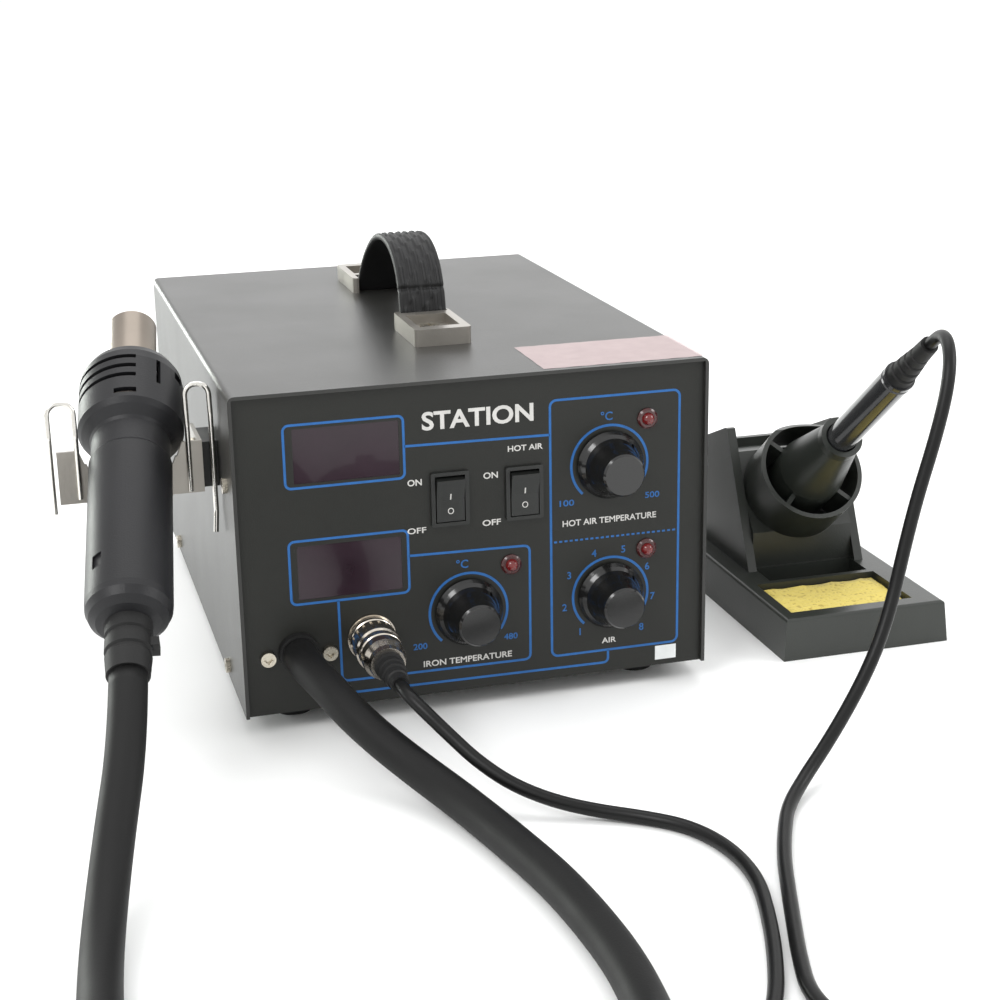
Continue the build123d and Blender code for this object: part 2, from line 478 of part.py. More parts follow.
TX0, TX1 = STAND_X - 28, STAND_X + 28
profile = [(67, 10), (95, 69.5), (97, 69.5), (130, 56), (130, 10)]
tower = slab(profile, TX0, TX0 + 4) + slab(profile, TX1 - 4, TX1)
tower += bx(TX0 + 4, TX1 - 4, 72, 75, 10, 26)
tower += slab([(72, 26.4), (96.5, 57.7), (130, 50), (130, 47), (98.0, 54.3), (75, 24.8), (75, 22), (72, 22)], TX0 + 4, TX1 - 4)
tower += bx(TX0 + 4, TX1 - 4, 127, 130, 10, 55)
CUP = at(CUP_M, A, (1, 0, 0))           # local Z: out of the cup
tower -= CUP * (Pos(0, 0, -45) * Cylinder(14, 30, align=LOW))
keep("stand_tower", tower)

cup = lathe([(21.5, -24.3), (23.5, -24.3), (23.5, 0), (21.5, 0)])
cup -= CUP.inverse() * bx(230, 300, 50, 110, 72, 90)
cup += lathe([(13.4, -24.3), (15.0, -24.3), (15.0, 0), (9.25, 31), (9.25, 35.4), (7.0, 35.4), (7.0, 31), (13.4, -1)])
for a0 in (45, 135, 225, 315):
    cup += Rot(0, 0, a0) * bx(14.2, 22.2, -1.0, 1.0, -22, -2)
keep("stand_cup", CUP * cup)

# ---------------- soldering iron ----------------
IRON = at(IRON_K, A, (1, 0, 0))         # local Z: towards the cable
keep("iron_handle", IRON * lathe([(4.6, -30), (6.2, -30), (6.5, -27), (6.5, 57.4), (6.0, 57.8), (6.0, 58.6), (6.5, 59),
                                  (6.5, 61), (2.8, 61), (2.8, 56), (4.6, 56)]))
keep("iron_cable_boot", IRON * lathe(
    [(0, 56), (2.8, 56), (2.8, 61), (5.6, 61), (5.4, 65), (4.6, 65.4), (4.6, 66.4), (5.2, 66.8), (5.0, 70), (4.2, 70.4),
     (4.2, 71.4), (4.8, 71.8), (4.5, 75), (3.9, 75.4), (3.9, 76.4), (4.3, 76.8), (4.0, 80), (3.6, 80.4), (3.6, 81.4),
     (3.9, 81.8), (3.6, 89), (0, 89)]))
keep("iron_barrel", IRON * lathe([(0, -84), (2.2, -84), (2.2, -85), (3.1, -85), (3.1, -38), (5.2, -38), (6.0, -36), (6.0, -30), (4.6, -30),
                                  (4.6, -26), (0, -26)]))
keep("iron_tip", IRON * lathe([(0, -100), (0.4, -100), (3.1, -88), (3.1, -85), (2.2, -85), (2.2, -84), (0, -84)]))

# ---------------- export ----------------
lo, hi = [1e9] * 3, [-1e9] * 3
for name, shape in NODES.items():
    moved = Pos(-ORIGIN[0], -ORIGIN[1], -ORIGIN[2]) * shape
    if not isinstance(moved, (Solid, Compound)):
        moved = Compound(children=list(moved.solids()))
    export_step(moved, "parts/" + name + ".step")
    if name not in ("hose_run_gun", "hose_run_panel", "hose_coil", "cable_run_plug", "cable_hang", "cable_run_iron", "cable_coil"):
        b = moved.bounding_box()
        for i, (p, q) in enumerate(zip(tuple(b.min), tuple(b.max))):
            lo[i], hi[i] = min(lo[i], p), max(hi[i], q)
print(len(NODES), "nodes; box without the cords", [round(v, 2) for v in lo], [round(v, 2) for v in hi])
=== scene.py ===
import bpy
import bmesh
import math
import random
from mathutils import Matrix, Vector
from mathutils.bvhtree import BVHTree


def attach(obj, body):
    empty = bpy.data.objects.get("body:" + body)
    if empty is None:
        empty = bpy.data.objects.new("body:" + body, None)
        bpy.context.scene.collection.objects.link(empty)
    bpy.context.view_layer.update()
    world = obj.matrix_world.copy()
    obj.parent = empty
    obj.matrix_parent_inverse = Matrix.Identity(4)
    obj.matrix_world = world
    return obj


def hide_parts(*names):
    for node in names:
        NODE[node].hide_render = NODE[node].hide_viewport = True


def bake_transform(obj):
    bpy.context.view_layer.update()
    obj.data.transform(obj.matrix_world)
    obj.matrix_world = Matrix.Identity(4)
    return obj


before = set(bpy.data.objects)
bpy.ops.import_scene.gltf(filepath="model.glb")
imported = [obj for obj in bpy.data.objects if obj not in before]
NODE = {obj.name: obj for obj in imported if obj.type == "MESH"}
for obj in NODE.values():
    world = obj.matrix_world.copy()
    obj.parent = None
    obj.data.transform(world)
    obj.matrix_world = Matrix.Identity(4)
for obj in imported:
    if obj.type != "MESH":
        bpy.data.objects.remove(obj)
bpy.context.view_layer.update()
random.seed(7)
scene = bpy.context.scene

# Working frame of this script: millimetres from the station's front bottom left corner, moved to the row frame by S().
ORG = Vector((119.4, 94.5, -8.0))
FLOOR = -8.0


def S(x, y, z):
    return (Vector((x, y, z)) - ORG) / 1000.0


# ------------------------------------------------------------------ camera
AZ, EL, ROLL = math.radians(15.8312), math.radians(17.3468), math.radians(-1.0196)
fwd = Vector((math.sin(AZ) * math.cos(EL), math.cos(AZ) * math.cos(EL), -math.sin(EL)))
right = Vector((math.cos(AZ), -math.sin(AZ), 0))
up = right.cross(fwd)
r_ = right * math.cos(ROLL) + up * math.sin(ROLL)
u_ = up * math.cos(ROLL) - right * math.sin(ROLL)
cam_data = bpy.data.cameras.new("camera")
cam = bpy.data.objects.new("camera", cam_data)
scene.collection.objects.link(cam)
cam_data.sensor_width = 36.0
cam_data.lens = 66.645
cam_data.clip_end = 50
m = Matrix((r_, u_, -fwd)).transposed().to_4x4()
m.translation = S(-83.098, -653.986, 290.010)
cam.matrix_world = m
scene.camera = cam
scene.view_settings.view_transform = "Standard"
scene.view_settings.look = "None"


# ------------------------------------------------------------------ materials
def new_mat(name):
    mat = bpy.data.materials.new(name)
    mat.use_nodes = True
    nt = mat.node_tree
    bsdf = nt.nodes["Principled BSDF"]
    return mat, nt, bsdf


def surface(name, color, rough, metallic=0.0, vary=0.12, scale=60.0, bump=0.15, bump_scale=900.0, rough_vary=0.08,
            coat=0.0, spec=None, bump_dist=0.0002, stretch=None, speck=None):
    """One general finish: two noises for colour and roughness, one for the fine relief."""
    mat, nt, b = new_mat(name)
    tc = nt.nodes.new("ShaderNodeTexCoord")
    src = tc.outputs["Object"]
    if stretch:
        mp = nt.nodes.new("ShaderNodeMapping")
        mp.inputs["Scale"].default_value = stretch
        nt.links.new(src, mp.inputs["Vector"])
        src = mp.outputs["Vector"]
    n1 = nt.nodes.new("ShaderNodeTexNoise")
    n1.inputs["Scale"].default_value = scale
    n1.inputs["Detail"].default_value = 5
    nt.links.new(src, n1.inputs["Vector"])
    ramp = nt.nodes.new("ShaderNodeValToRGB")
    ramp.color_ramp.elements[0].position = 0.3
    ramp.color_ramp.elements[1].position = 0.72
    ramp.color_ramp.elements[0].color = (*[c * (1 - vary) for c in color], 1)
    ramp.color_ramp.elements[1].color = (*[min(1, c * (1 + vary)) for c in color], 1)
    nt.links.new(n1.outputs["Fac"], ramp.inputs["Fac"])
    col = ramp.outputs["Color"]
    n2 = nt.nodes.new("ShaderNodeTexNoise")
    n2.inputs["Scale"].default_value = bump_scale
    n2.inputs["Detail"].default_value = 4
    nt.links.new(src, n2.inputs["Vector"])
    if speck:
        r2 = nt.nodes.new("ShaderNodeValToRGB")
        r2.color_ramp.elements[0].position = speck[0]
        r2.color_ramp.elements[1].position = min(1.0, speck[0] + 0.06)
        r2.color_ramp.elements[0].color = (0, 0, 0, 1)
        r2.color_ramp.elements[1].color = (1, 1, 1, 1)
        nt.links.new(n2.outputs["Fac"], r2.inputs["Fac"])
        mx = nt.nodes.new("ShaderNodeMix")
        mx.data_type = "RGBA"
        nt.links.new(r2.outputs["Color"], mx.inputs["Factor"])
        nt.links.new(col, mx.inputs["A"])
        mx.inputs["B"].default_value = (*speck[1], 1)
        col = mx.outputs["Result"]
    nt.links.new(col, b.inputs["Base Color"])
    mr = nt.nodes.new("ShaderNodeMapRange")
    mr.inputs["To Min"].default_value = max(0.02, rough - rough_vary)
    mr.inputs["To Max"].default_value = min(1.0, rough + rough_vary)
    nt.links.new(n1.outputs["Fac"], mr.inputs["Value"])
    nt.links.new(mr.outputs["Result"], b.inputs["Roughness"])
    bp = nt.nodes.new("ShaderNodeBump")
    bp.inputs["Strength"].default_value = bump
    bp.inputs["Distance"].default_value = bump_dist
    nt.links.new(n2.outputs["Fac"], bp.inputs["Height"])
    nt.links.new(bp.outputs["Normal"], b.inputs["Normal"])
    b.inputs["Metallic"].default_value = metallic
    if coat:
        b.inputs["Coat Weight"].default_value = coat
        b.inputs["Coat Roughness"].default_value = 0.12
    if spec is not None:
        b.inputs["Specular IOR Level"].default_value = spec
    return mat


MAT = {
    "case": surface("case_coat", (0.020, 0.020, 0.0185), 0.36, vary=0.10, scale=25, bump=0.6, bump_scale=1500, bump_dist=0.00012, spec=0.5, rough_vary=0.05),
    "panel": surface("panel_coat", (0.0145, 0.0150, 0.0130), 0.42, vary=0.10, scale=25, bump=0.4, bump_scale=1700, bump_dist=0.0001, spec=0.3, rough_vary=0.05),
    "blue": surface("panel_ink_blue", (0.020, 0.115, 0.34), 0.5, vary=0.10, scale=300, bump=0.1, spec=0.3),
    "white": surface("panel_ink_white", (0.55, 0.54, 0.52), 0.5, vary=0.06, scale=300, bump=0.1),
    "rubber": surface("rubber_black", (0.008, 0.008, 0.008), 0.6, vary=0.2, scale=90, bump=0.3, bump_scale=1200, spec=0.35),
    "strap": surface("strap_rubber_ribbed", (0.011, 0.011, 0.0115), 0.55, vary=0.2, scale=90, bump=0.3, bump_scale=1200, spec=0.35),
    "hose": surface("hose_silicone", (0.0065, 0.0065, 0.0065), 0.58, vary=0.18, scale=60, bump=0.25, bump_scale=1400, spec=0.24, rough_vary=0.1),
    "cable": surface("cable_silicone", (0.0055, 0.0055, 0.0055), 0.38, vary=0.2, scale=80, bump=0.2, bump_scale=1500, spec=0.24),
    "gun": surface("gun_plastic_matte", (0.0095, 0.0095, 0.0110), 0.46, vary=0.1, scale=40, bump=0.35, bump_scale=1600, spec=0.35),
    "barrel": surface("barrel_steel_tinted", (0.27, 0.235, 0.20), 0.38, metallic=0.85, vary=0.14, scale=30, bump=0.2, bump_scale=500, stretch=(1, 1, 0.2), rough_vary=0.1),
    "zinc": surface("zinc_satin", (0.34, 0.32, 0.29), 0.34, metallic=0.85, vary=0.12, scale=45, bump=0.25, bump_scale=800, rough_vary=0.1),
    "wire": surface("wire_nickel", (0.72, 0.70, 0.66), 0.18, metallic=1.0, vary=0.06, scale=200, bump=0.1, bump_scale=1500),
    "nickel": surface("nickel_bright", (0.62, 0.57, 0.50), 0.2, metallic=1.0, vary=0.1, scale=120, bump=0.12, bump_scale=1200),
    "screw": surface("screw_plate", (0.52, 0.48, 0.40), 0.27, metallic=1.0, vary=0.12, scale=200, bump=0.15, bump_scale=1200),
    "steel": surface("steel_turned", (0.5, 0.49, 0.47), 0.3, metallic=1.0, vary=0.1, scale=120, bump=0.2, bump_scale=900),
    "ceramic": surface("ceramic_core", (0.66, 0.62, 0.55), 0.7, vary=0.12, scale=120, bump=0.3, bump_scale=800),
    "knob": surface("knob_gloss", (0.006, 0.006, 0.006), 0.17, vary=0.12, scale=80, bump=0.05, bump_scale=900, coat=0.3, rough_vary=0.04, spec=0.5),
    "switch": surface("switch_satin", (0.014, 0.015, 0.014), 0.33, vary=0.1, scale=80, bump=0.15, bump_scale=1500, rough_vary=0.05, spec=0.4),
    "plastic": surface("plastic_black", (0.009, 0.009, 0.009), 0.42, vary=0.12, scale=80, bump=0.2, bump_scale=1200, spec=0.4),
    "stand": surface("stand_moulding", (0.023, 0.026, 0.0225), 0.34, vary=0.12, scale=30, bump=0.3, bump_scale=1300, spec=0.5, rough_vary=0.07),
    "iron": surface("iron_gloss", (0.022, 0.0225, 0.024), 0.14, vary=0.1, scale=60, bump=0.05, bump_scale=900, coat=0.5, rough_vary=0.03),
    "led": surface("led_lens", (0.13, 0.006, 0.006), 0.16, vary=0.15, scale=300, bump=0.05, coat=0.5, rough_vary=0.03),
    # LED rim: a darker copy of the red lens colour; the extra darkness is painted shade for the lens's darker edge
    # around its brighter centre
    "led_rim": surface("led_rim_red_painted_edge_shade", (0.045, 0.004, 0.004), 0.2, vary=0.15, scale=300, bump=0.05, coat=0.4, rough_vary=0.03),
    "board": surface("board_green", (0.012, 0.085, 0.035), 0.4, vary=0.25, scale=90, bump=0.3, bump_scale=400),
    "core": surface("core_laminated", (0.10, 0.10, 0.11), 0.5, metallic=0.4, vary=0.25, scale=60, bump=0.8, bump_scale=900, stretch=(0.05, 1, 0.05)),
    "tape": surface("winding_tape", (0.55, 0.42, 0.08), 0.4, vary=0.15, scale=60, bump=0.3, bump_scale=300),
    "sticker": surface("paper_sticker", (0.72, 0.74, 0.74), 0.55, vary=0.06, scale=200, bump=0.1),
}

# display window: dark wine red, with faint darker noise mottling
mat, nt, b = new_mat("display_plastic")
tc = nt.nodes.new("ShaderNodeTexCoord")
nz = nt.nodes.new("ShaderNodeTexNoise")
nz.inputs["Scale"].default_value = 55
nz.inputs["Detail"].default_value = 3
nt.links.new(tc.outputs["Object"], nz.inputs["Vector"])
rp = nt.nodes.new("ShaderNodeValToRGB")
rp.color_ramp.elements[0].color = (0.012, 0.005, 0.009, 1)
rp.color_ramp.elements[1].color = (0.028, 0.013, 0.022, 1)
nt.links.new(nz.outputs["Fac"], rp.inputs["Fac"])
nt.links.new(rp.outputs["Color"], b.inputs["Base Color"])
mr = nt.nodes.new("ShaderNodeMapRange")
mr.inputs["To Min"].default_value = 0.10
mr.inputs["To Max"].default_value = 0.22
nt.links.new(nz.outputs["Fac"], mr.inputs["Value"])
nt.links.new(mr.outputs["Result"], b.inputs["Roughness"])
b.inputs["Coat Weight"].default_value = 0.25
b.inputs["Specular IOR Level"].default_value = 0.3
MAT["display"] = mat

# yellow cellulose sponge; the pores are darker where the relief dips, which is painted shade in the pits
mat, nt, b = new_mat("sponge_cellulose")
tc = nt.nodes.new("ShaderNodeTexCoord")
vo = nt.nodes.new("ShaderNodeTexVoronoi")
vo.inputs["Scale"].default_value = 620
nt.links.new(tc.outputs["Object"], vo.inputs["Vector"])
vo2 = nt.nodes.new("ShaderNodeTexVoronoi")
vo2.inputs["Scale"].default_value = 260
nt.links.new(tc.outputs["Object"], vo2.inputs["Vector"])
mul = nt.nodes.new("ShaderNodeMath")
mul.operation = "MULTIPLY"
nt.links.new(vo.outputs["Distance"], mul.inputs[0])
nt.links.new(vo2.outputs["Distance"], mul.inputs[1])
# painted shade: the same mask that sinks the pores in the bump darkens their colour
rp = nt.nodes.new("ShaderNodeValToRGB")
rp.color_ramp.elements[0].position = 0.02
rp.color_ramp.elements[1].position = 0.16
rp.color_ramp.elements[0].color = (0.42, 0.30, 0.045, 1)
rp.color_ramp.elements[1].color = (0.72, 0.58, 0.13, 1)
nt.links.new(mul.outputs[0], rp.inputs["Fac"])
nt.links.new(rp.outputs["Color"], b.inputs["Base Color"])
bp = nt.nodes.new("ShaderNodeBump")
bp.inputs["Strength"].default_value = 0.7
bp.inputs["Distance"].default_value = 0.0006
nt.links.new(mul.outputs[0], bp.inputs["Height"])
nt.links.new(bp.outputs["Normal"], b.inputs["Normal"])
b.inputs["Roughness"].default_value = 0.9
b.inputs["Sheen Weight"].default_value = 0.15
MAT["sponge"] = mat

# translucent protective strip on the lid
mat, nt, b = new_mat("film_strip")
tc = nt.nodes.new("ShaderNodeTexCoord")
nz = nt.nodes.new("ShaderNodeTexNoise")
nz.inputs["Scale"].default_value = 160
nz.inputs["Detail"].default_value = 6
nt.links.new(tc.outputs["Object"], nz.inputs["Vector"])
rp = nt.nodes.new("ShaderNodeValToRGB")
rp.color_ramp.elements[0].color = (0.36, 0.26, 0.26, 1)
rp.color_ramp.elements[1].color = (0.48, 0.36, 0.36, 1)
nt.links.new(nz.outputs["Fac"], rp.inputs["Fac"])
nt.links.new(rp.outputs["Color"], b.inputs["Base Color"])
b.inputs["Roughness"].default_value = 0.35
b.inputs["Alpha"].default_value = 0.82
MAT["film"] = mat

NODE_MAT = {
    "top_cover": "case", "chassis": "case", "front_panel": "panel", "feet": "rubber", "case_screws": "screw",
    "display_windows": "display", "display_modules": "plastic", "control_board": "board", "led_bezels": "led_rim",
    "indicator_leds": "led", "switch_housing_left": "switch", "switch_housing_right": "switch",
    "switch_rocker_left": "switch", "switch_rocker_right": "switch", "knob_air_temp": "knob", "knob_airflow": "knob",
    "knob_iron_temp": "knob", "shaft_air_temp": "steel", "shaft_airflow": "steel", "shaft_iron_temp": "steel",
    "potentiometers": "steel", "din_socket": "nickel", "din_plug": "nickel", "din_coupling_ring": "nickel",
    "plug_boot": "rubber", "hose_gland": "rubber", "inner_air_tube": "hose", "air_pump": "plastic",
    "pump_mounts": "rubber", "transformer_core": "core", "transformer_winding": "tape", "main_board": "board",
    "mains_inlet": "plastic", "handle_caps": "zinc", "handle_strap": "rubber", "holder_bracket": "zinc",
    # holder_spacer in black plastic is painted shade: a dark block standing in for the shade and dark reflection on
    # the case side beside the holder
    "holder_spacer": "plastic", "holder_clip_left": "wire", "holder_clip_right": "wire", "gun_shell_left": "gun",
    "gun_shell_right": "gun", "gun_head": "gun", "gun_nozzle": "barrel", "gun_heater_core": "ceramic",
    "gun_hose_boot": "rubber", "stand_tray": "stand", "stand_tower": "stand", "stand_cup": "stand",
    "iron_handle": "iron", "iron_cable_boot": "rubber", "iron_barrel": "steel", "iron_tip": "steel",
}
for name, key in NODE_MAT.items():
    ob = NODE[name]
    if not ob.material_slots:
        ob.data.materials.append(MAT[key])
    for sl in ob.material_slots:
        sl.link = "OBJECT"
        sl.material = MAT[key]


# ------------------------------------------------------------------ helpers for pieces
def add_mesh(name, verts, faces, mat, body, smooth=True):
    me = bpy.data.meshes.new(name)
    me.from_pydata([tuple(v) for v in verts], [], faces)
    me.validate()
    bm = bmesh.new()
    bm.from_mesh(me)
    bmesh.ops.recalc_face_normals(bm, faces=bm.faces)
    bm.to_mesh(me)
    bm.free()
    ob = bpy.data.objects.new(name, me)
    scene.collection.objects.link(ob)
    me.materials.append(mat)
    if smooth:
        me.polygons.foreach_set("use_smooth", [True] * len(me.polygons))
    if body:
        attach(ob, body)
    return ob


def nurbs_points(name, pts, res=10):
    cu = bpy.data.curves.new(name + "_line", "CURVE")
    cu.dimensions = "3D"
    cu.resolution_u = res
    sp = cu.splines.new("NURBS")
    sp.points.add(len(pts) - 1)
    for p, q in zip(sp.points, pts):
        p.co = (*S(*q), 1.0)
    sp.order_u = 3
    sp.use_endpoint_u = True
    ob = bpy.data.objects.new(name + "_line", cu)
    scene.collection.objects.link(ob)
    dg = bpy.context.evaluated_depsgraph_get()
    dg.update()
    me = bpy.data.meshes.new_from_object(ob.evaluated_get(dg))
    out = [v.co.copy() for v in me.vertices]
    bpy.data.meshes.remove(me)
    bpy.data.objects.remove(ob)
    bpy.data.curves.remove(cu)
    return out


def tube_mesh(name, path, radius, mat, sides=20):
    """Round tube along read points, with a frame carried along the line."""
    n = len(path)
    tang = []
    for i in range(n):
        t = path[min(i + 1, n - 1)] - path[max(i - 1, 0)]
        tang.append(t.normalized())
    ref = Vector((0, 0, 1)) if abs(tang[0].z) < 0.9 else Vector((1, 0, 0))
    side = tang[0].cross(ref).normalized()
    verts, faces = [], []
    for i in range(n):
        side = (side - tang[i] * side.dot(tang[i])).normalized()
        other = tang[i].cross(side)
        for k in range(sides):
            a = 2 * math.pi * k / sides
            verts.append(path[i] + (side * math.cos(a) + other * math.sin(a)) * radius)
    for i in range(n - 1):
        for k in range(sides):
            a, b2 = i * sides + k, i * sides + (k + 1) % sides
            faces.append((a, b2, b2 + sides, a + sides))
    faces.append(tuple(range(sides - 1, -1, -1)))
    faces.append(tuple((n - 1) * sides + k for k in range(sides)))
    return add_mesh(name, verts, faces, mat, None)


def length(path):
    return sum((b - a).length for a, b in zip(path, path[1:]))


# ------------------------------------------------------------------ hose and cable
HZ, CZ = FLOOR + 6.7, FLOOR + 2.5
gd = Vector((0.126, 0.857, 0.5)).normalized()
hose_exit = Vector((-43.8, -40.2, 58.8)) - gd * 22.0
HC, CC = (-2.0, -300.0), (117.0, -294.0)


def ring(c, deg, r, z):
    return (c[0] + r * math.cos(math.radians(deg)), c[1] + r * math.sin(math.radians(deg)), z)


HOSE = [tuple(hose_exit), (-50.2, -83.4, 33.7), (-57.8, -110, 16.8), (-64.2, -138, 3.6), (-68.2, -165, HZ),
        (-70.4, -193, HZ), (-71.4, -219, HZ), (-73.0, -241, HZ), (-75.6, -266, HZ)]
for deg in range(180, 361, 20):      # one and a half turns of the put away hose, side by side on the bench
    HOSE.append(ring(HC, deg, 75.0, HZ))
for deg in range(380, 541, 20):
    HOSE.append(ring(HC, deg, 75.0 - 13.9 * (deg - 360) / 180.0, HZ))
for deg in range(560, 681, 20):
    HOSE.append(ring(HC, deg, 61.1, HZ))
HOSE += [(57.4, -310, 4.0), (60.6, -292, 15.0), (66.2, -270, 15.0), (73.4, -249, 3.0), (78.0, -229, HZ),
         (79.8, -205, HZ), (78.4, -177, HZ), (75.4, -152, HZ), (70.9, -130, HZ), (66.0, -109, HZ), (59.8, -90, 0.2),
         (50.8, -72, 3.9), (41.0, -56, 9.6), (32.6, -41, 15.8), (26.6, -26, 21.6), (21.8, -12, 24.5),
         (21.8, -1.0, 24.5)]
hose_line = nurbs_points("hose", HOSE)
hose = tube_mesh("air_hose", hose_line, 0.0067, MAT["hose"], 24)
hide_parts("hose_run_gun", "hose_coil", "hose_run_panel")
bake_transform(hose)

CABLE = [(264.5, -33.53, 132.99), (264.5, -39.05, 137.3), (262.6, -47.5, 139.7), (260.0, -56.0, 137.4),
         (257.2, -62.3, 130.9), (254.0, -66.0, 120.6), (248.6, -69.0, 105.0), (241.4, -71.8, 86.0),
         (234.9, -75.2, 66.4), (228.6, -79.8, 48.0), (219.4, -86.0, 31.6), (208.0, -92.5, 18.2), (194.6, -100.2, 6.2),
         (181.6, -108.4, -2.4), (170.2, -120.6, CZ), (161.2, -137.6, CZ), (153.2, -155, CZ), (146.8, -172, CZ),
         (140.2, -190, CZ), (132.6, -211, CZ), (126.6, -231, CZ), (130.0, -250, CZ), (140.4, -266, CZ),
         (147.0, -281, CZ)]
for i in range(1, 19):               # first turn on the bench, winding inwards
    CABLE.append(ring(CC, -20 * i, 30.0 - 5.3 * i / 18.0, CZ))
for i in range(19, 37):              # second turn on top of it, winding outwards
    CABLE.append(ring(CC, -20 * i, 24.7 + 5.3 * (i - 18) / 18.0, CZ + min(5.6, 2.8 * (i - 18))))
for i in range(37, 45):              # the last half turn, which rolls over the first and comes down outside
    fi = math.radians(87.0 * (1 - (i - 36) / 8.0))
    CABLE.append(ring(CC, -20 * i, 30.0 - 5.3 * (i - 36) / 18.0 + 5.6 * math.cos(fi), CZ + 5.6 * math.sin(fi)))
CABLE += [(85.2, -284, CZ), (91.4, -268, CZ), (102.0, -252, CZ), (116.2, -231, CZ), (125.4, -210, CZ),
          (133.2, -188, CZ), (140.2, -163, CZ), (139.4, -141, CZ), (132.3, -123.5, CZ), (120.0, -112.5, CZ),
          (105.6, -105, -4.4), (91.5, -98.5, -1.5), (79.0, -90.5, 3.0), (69.2, -81, 9.2), (62.0, -71.5, 15.8),
          (54.4, -63.0, 23.4), (50.2, -55, 27.2), (50.2, -48, 27.2)]
cable_line = nurbs_points("cable", CABLE)
cable = tube_mesh("iron_cable", cable_line, 0.0025, MAT["cable"], 16)
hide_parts("cable_hang", "cable_run_iron", "cable_coil", "cable_run_plug")
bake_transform(cable)


def tie(name, centre, across, half_w, half_h, width, mat, body):
    """Hook and loop strap around the turns of a coil: a closed flat band in the plane of `across` and Z."""
    across = Vector(across).normalized()
    along = Vector((0, 0, 1)).cross(across).normalized()
    prof = []
    for k in range(28):
        a = 2 * math.pi * k / 28
        ca, sa = math.cos(a), math.sin(a)
        x = math.copysign(abs(ca) ** 0.55, ca) * half_w
        z = math.copysign(abs(sa) ** 0.55, sa) * half_h
        prof.append((x, z))
    verts, faces = [], []
    for w in (-width / 2, width / 2):
        for grow in (0.0, 0.0011):
            for x, z in prof:
                k = 1 + grow / max(half_w, half_h)
                verts.append(Vector(centre) + across * x * k + Vector((0, 0, z * k)) + along * w)
    n = len(prof)
    for i in range(n):
        j = (i + 1) % n
        faces += [(i, j, n + j, n + i), (2 * n + i, 3 * n + i, 3 * n + j, 2 * n + j),
                  (n + i, n + j, 3 * n + j, 3 * n + i), (i, 2 * n + i, 2 * n + j, j)]
    return add_mesh(name, verts, faces, mat, body)


hose_tie = tie("hose_tie", S(*ring(HC, 270, 67.2, FLOOR + 9.0)), (0, 1, 0), 0.0150, 0.0078, 0.016, MAT["rubber"], "station")
cable_tie = tie("cable_tie", S(*ring(CC, 270, 27.4, FLOOR + 6.8)), (0, 1, 0), 0.0062, 0.0056, 0.009, MAT["rubber"], "station")

# ------------------------------------------------------------------ printed graphics on the front panel
PY = 2.0
INK = 0.06


def ribbon(name, pts, width, mat, closed=False, y=PY, body="station"):
    n = len(pts)
    left, right_ = [], []
    for i in range(n):
        if closed:
            a, b2 = pts[i - 1], pts[(i + 1) % n]
        else:
            a, b2 = pts[max(i - 1, 0)], pts[min(i + 1, n - 1)]
        dx, dz = b2[0] - a[0], b2[1] - a[1]
        d = math.hypot(dx, dz)
        nx, nz = -dz / d, dx / d
        left.append((pts[i][0] + nx * width / 2, pts[i][1] + nz * width / 2))
        right_.append((pts[i][0] - nx * width / 2, pts[i][1] - nz * width / 2))
    verts = [S(x, y - INK, z) for x, z in left + right_] + [S(x, y, z) for x, z in left + right_]
    faces = []
    for i in range(n if closed else n - 1):
        j = (i + 1) % n
        faces += [(i, j, n + j, n + i), (i, 2 * n + i, 2 * n + j, j), (n + i, n + j, 3 * n + j, 3 * n + i)]
    return add_mesh(name, verts, faces, mat, body, smooth=False)


def rounded(x0, x1, z0, z1, r, steps=6):
    out = []
    for cx, cz, a0 in ((x1 - r, z1 - r, 0), (x0 + r, z1 - r, 90), (x0 + r, z0 + r, 180), (x1 - r, z0 + r, 270)):
        for k in range(steps + 1):
            a = math.radians(a0 + 90 * k / steps)
            out.append((cx + r * math.cos(a), cz + r * math.sin(a)))
    return out


LW = 0.95
ribbon("line_display_upper", rounded(20.0, 65.6, 89.6, 114.0, 2.2), LW, MAT["blue"], True)
ribbon("line_display_lower", rounded(20.0, 66.0, 43.6, 68.8, 2.2), LW, MAT["blue"], True)
ribbon("line_box_air", rounded(123.4, 176.6, 9.4, 114.7, 2.6), LW, MAT["blue"], True)
ribbon("line_link_air", [(65.8, 102.0), (123.2, 101.2)], LW, MAT["blue"])
for i in range(24):
    x0 = 124.6 + i * 2.15
    if x0 + 1.3 < 176:
        ribbon(f"line_divider_{i:02d}", [(x0, 57.3), (x0 + 1.25, 57.3)], 0.75, MAT["blue"])


def corner(pts, r, steps=5):
    out = [pts[0]]
    for a, b2, c2 in zip(pts, pts[1:], pts[2:]):
        u = Vector((a[0] - b2[0], a[1] - b2[1]))
        v = Vector((c2[0] - b2[0], c2[1] - b2[1]))
        k = min(r, u.length * 0.45, v.length * 0.45)
        p0, p1 = Vector(b2) + u.normalized() * k, Vector(b2) + v.normalized() * k
        for s in range(steps + 1):
            t = s / steps
            q = p0 * (1 - t) ** 2 + Vector(b2) * 2 * t * (1 - t) + p1 * t * t
            out.append((q.x, q.y))
    out.append(pts[-1])
    return out


ribbon("line_box_iron", corner([(66.2, 58.3), (114.6, 57.3), (114.4, 9.6), (38.2, 10.2), (38.0, 43.4)], 2.6), LW, MAT["blue"])
ribbon("line_link_iron", corner([(38.2, 9.8), (39.0, 5.0), (147.0, 4.0), (147.0, 9.2)], 2.2), LW, MAT["blue"])


def dial(name, cx, cz, a0, a1, r=15.7):
    pts = [(cx + r * math.cos(math.radians(a)), cz + r * math.sin(math.radians(a))) for a in range(a0, a1 + 1, 5)]
    ribbon(name, pts, 1.0, MAT["blue"])


dial("dial_air_temp", 147.6, 87.2, -30, 225)
dial("dial_airflow", 148.0, 33.0, -45, 225)
dial("dial_iron_temp", 89.4, 33.0, -35, 225)


